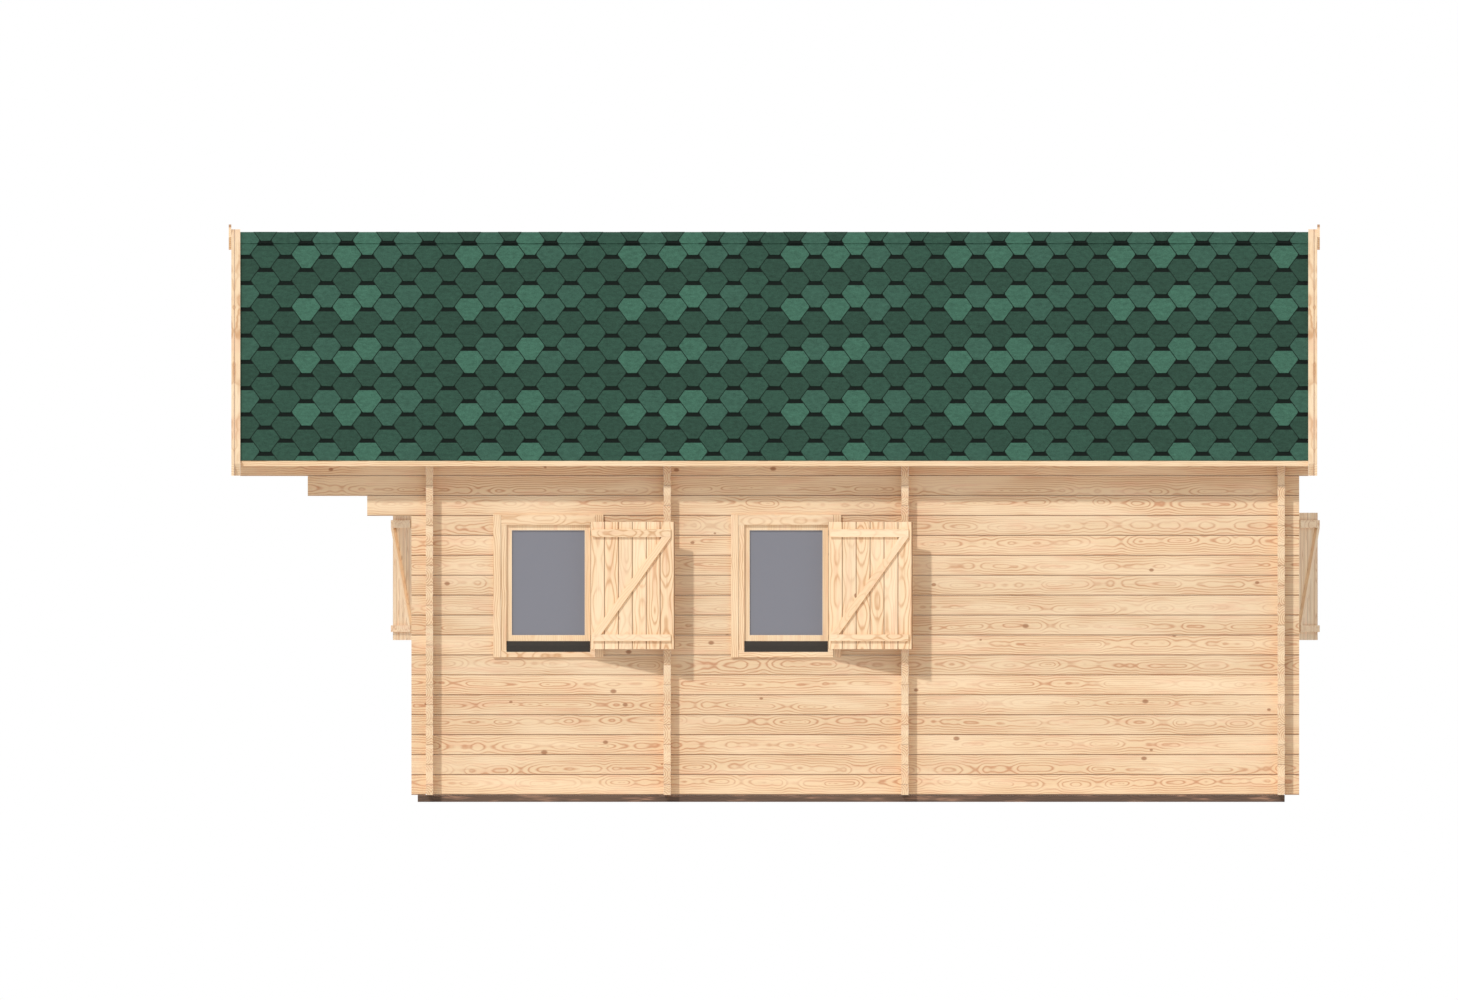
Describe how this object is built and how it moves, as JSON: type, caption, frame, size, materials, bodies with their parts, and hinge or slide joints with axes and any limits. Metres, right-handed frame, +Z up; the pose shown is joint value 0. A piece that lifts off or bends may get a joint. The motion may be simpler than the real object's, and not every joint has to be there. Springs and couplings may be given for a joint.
{
  "type": "log garden house",
  "caption": "Garden house of stacked interlocking logs under a shingled gable roof that reaches far out over the entrance, with boarded window shutters on hinges.",
  "frame": {"origin": "middle of the footprint at ground level", "axes": "+X along the house from the entrance front to the rear, +Y to the left-hand long wall seen from the front, +Z up"},
  "size_m": [6.241, 4.552, 3.303],
  "materials": {
    "logs": "planed pine, unpainted",
    "foundation": "impregnated, dark",
    "floor": "planed boards",
    "roof_timber": "planed boards",
    "shingles": "green mineral granules on bitumen",
    "ridge_cap": "green mineral granules on bitumen",
    "hinge_metal": "black, satin",
    "shutter": "planed pine, unpainted",
    "casing": "planed pine, unpainted",
    "sash": "planed pine, unpainted",
    "pane": "clear, grey reflection",
    "sill": "near black",
    "door": "planed pine, unpainted",
    "handle": "satin",
    "trim": "planed pine, unpainted"
  },
  "bodies": {
    "house": {"right_wall": "logs", "left_wall": "logs", "front_wall": "logs", "front_partition": "logs", "rear_partition": "logs", "rear_wall": "logs", "foundation_beams": "foundation", "floor_boards": "floor", "ridge_purlin": "roof_timber", "right_purlins": "roof_timber", "left_purlins": "roof_timber", "right_roof_boards": "roof_timber", "left_roof_boards": "roof_timber", "right_shingles": "shingles", "left_shingles": "shingles", "ridge_cap": "ridge_cap", "fascia_boards": "trim", "front_verge_boards": "trim", "rear_verge_boards": "trim", "front_bargeboards": "trim", "rear_bargeboards": "trim", "front_finial": "trim", "rear_finial": "trim", "right_window_frames": "casing", "left_window_frames": "casing", "front_window_frame": "casing", "rear_window_frame": "casing", "window_sashes": "sash", "window_panes": "pane", "window_sills": "sill", "door_frame": "casing", "door_leaf": "door", "door_pane": "pane", "door_handle": "handle", "left_shutter_boards": "shutter", "left_shutter_battens": "shutter", "left_shutter_hinges": "hinge_metal", "shutter_pintles": "hinge_metal"},
    "right_front_shutter": {"right_front_shutter_boards": "shutter", "right_front_shutter_battens": "shutter", "right_front_shutter_hinges": "hinge_metal"},
    "right_rear_shutter": {"right_rear_shutter_boards": "shutter", "right_rear_shutter_battens": "shutter", "right_rear_shutter_hinges": "hinge_metal"},
    "rear_shutter": {"rear_shutter_boards": "shutter", "rear_shutter_battens": "shutter", "rear_shutter_hinges": "hinge_metal"},
    "front_shutter": {"front_shutter_boards": "shutter", "front_shutter_battens": "shutter", "front_shutter_hinges": "hinge_metal"}
  },
  "joints": [
    {"name": "right_front_shutter_hinge", "type": "hinge", "parent": "house", "child": "right_front_shutter", "pos_m": [-1.0448, -2.048, 1.238], "axis": [0, 0, 1], "range_deg": [-166.3, 8]},
    {"name": "right_rear_shutter_hinge", "type": "hinge", "parent": "house", "child": "right_rear_shutter", "pos_m": [0.3152, -2.048, 1.238], "axis": [0, 0, 1], "range_deg": [-166.3, 8]},
    {"name": "rear_shutter_hinge", "type": "hinge", "parent": "house", "child": "rear_shutter", "pos_m": [2.9675, 0.2477, 1.29], "axis": [0, 0, 1], "range_deg": [-166.3, 13]},
    {"name": "front_shutter_hinge", "type": "hinge", "parent": "house", "child": "front_shutter", "pos_m": [-2.0405, 1.0477, 1.29], "axis": [0, 0, -1], "range_deg": [-166.3, 13]}
  ]
}
